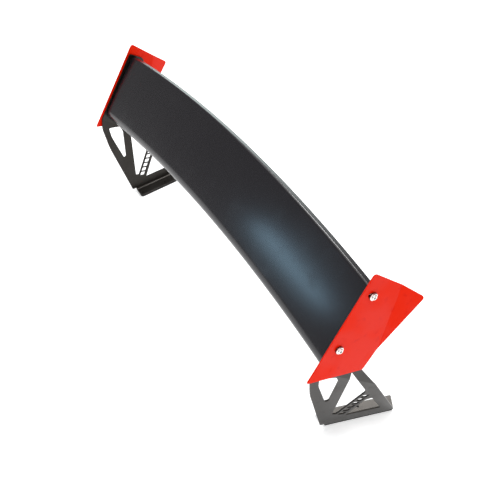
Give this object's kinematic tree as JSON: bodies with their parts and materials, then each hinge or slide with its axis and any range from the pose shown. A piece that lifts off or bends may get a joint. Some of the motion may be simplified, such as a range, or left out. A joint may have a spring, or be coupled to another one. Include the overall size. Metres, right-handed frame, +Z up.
{
  "type": "racing rear wing",
  "caption": "Bowed rear wing foil slung between folded truss uprights with pierced struts, folded end plates outside, toed-in foot flanges on rubber, height and incidence set in bolt slots.",
  "frame": {"origin": "centre of the footprint, on the plane of the two feet", "axes": "+X across the span towards the right end, +Y rearwards towards the trailing edge, +Z up from the feet"},
  "size_m": [1.2044, 0.3051, 0.4996],
  "materials": {
    "foil_black": "satin black gelcoat over a moulded laminate",
    "red_powder": "satin orange-red powder coat",
    "black_powder": "smooth satin black powder coat",
    "stainless": "bright stainless",
    "black_zinc": "black zinc plate",
    "brass": "turned brass",
    "rubber": "matt black rubber",
    "laminate": "raw glass laminate"
  },
  "bodies": {
    "frame": {"upright_right": "black_powder", "foot_gasket_right": "rubber", "end_plate_right": "red_powder", "upright_left": "black_powder", "foot_gasket_left": "rubber", "end_plate_left": "red_powder"},
    "front_pivot": {"bolt_front_right": "stainless", "head_washer_front_right": "black_zinc", "spacer_washer_front_right": "stainless", "bolt_front_left": "stainless", "head_washer_front_left": "black_zinc", "spacer_washer_front_left": "stainless"},
    "foil": {"foil_upper_skin": "foil_black", "foil_lower_skin": "foil_black", "front_spar": "laminate", "rear_spar": "laminate", "centre_rib": "laminate", "end_rib_right": "laminate", "insert_front_right": "brass", "bolt_rear_right": "stainless", "head_washer_rear_right": "black_zinc", "spacer_washer_rear_right": "stainless", "insert_rear_right": "brass", "end_rib_left": "laminate", "insert_front_left": "brass", "bolt_rear_left": "stainless", "head_washer_rear_left": "black_zinc", "spacer_washer_rear_left": "stainless", "insert_rear_left": "brass"}
  },
  "joints": [
    {"name": "height_setting", "type": "slide", "parent": "frame", "child": "front_pivot", "axis": [0, -0.8894, 0.4571], "range_m": [-0.003, 0.003]},
    {"name": "incidence", "type": "hinge", "parent": "front_pivot", "child": "foil", "pos_m": [0, -0.08528, 0.3244], "axis": [1, 0, 0], "range_deg": [-1.5, 1.5]}
  ]
}
